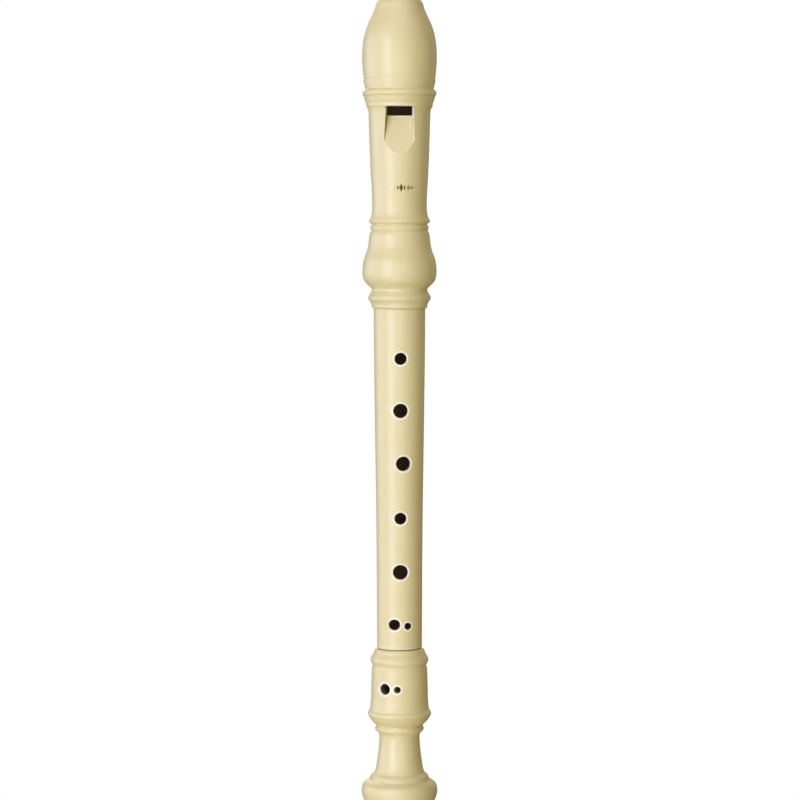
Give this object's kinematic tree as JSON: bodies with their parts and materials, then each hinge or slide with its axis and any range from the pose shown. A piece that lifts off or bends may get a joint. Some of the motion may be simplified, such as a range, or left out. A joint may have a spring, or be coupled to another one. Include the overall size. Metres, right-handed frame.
{
  "type": "soprano recorder",
  "caption": "Moulded soprano recorder with head, middle and foot joints: beak, windway, window, turned rings, finger holes, double holes and a thumb hole.",
  "frame": {"origin": "centre of the foot joint's open end face, which the recorder stands on", "axes": "+Z along the bore from the foot to the beak; the window and finger holes face -Y; the thumb hole faces +Y"},
  "size_m": [0.0312, 0.0312, 0.33],
  "materials": {
    "ivory_shell": "soft gloss ivory moulded ABS with a faint grain",
    "ivory_block": "satin ivory moulded ABS",
    "ivory_bore": "smooth polished ivory ABS bore",
    "gold_foil": "hot-stamped gold foil ornament, worn"
  },
  "bodies": {
    "middle": {"middle_joint": "ivory_shell"},
    "head_carrier": {"head_bore_tube": "ivory_bore"},
    "head": {"head_shell": "ivory_shell", "windway_block": "ivory_block"},
    "foot_carrier": {"foot_bore_tube": "ivory_bore"},
    "foot": {"foot_shell": "ivory_shell"}
  },
  "joints": [
    {"name": "head_pull", "type": "slide", "parent": "middle", "child": "head_carrier", "axis": [0, 0, 1], "range_m": [0, 0.032]},
    {"name": "head_turn", "type": "hinge", "parent": "head_carrier", "child": "head", "pos_m": [0, 0, 0.24], "axis": [0, 0, 1], "continuous": true},
    {"name": "foot_pull", "type": "slide", "parent": "middle", "child": "foot_carrier", "axis": [0, 0, -1], "range_m": [0, 0.018]},
    {"name": "foot_turn", "type": "hinge", "parent": "foot_carrier", "child": "foot", "pos_m": [0, 0, 0.03], "axis": [0, 0, 1], "continuous": true}
  ]
}
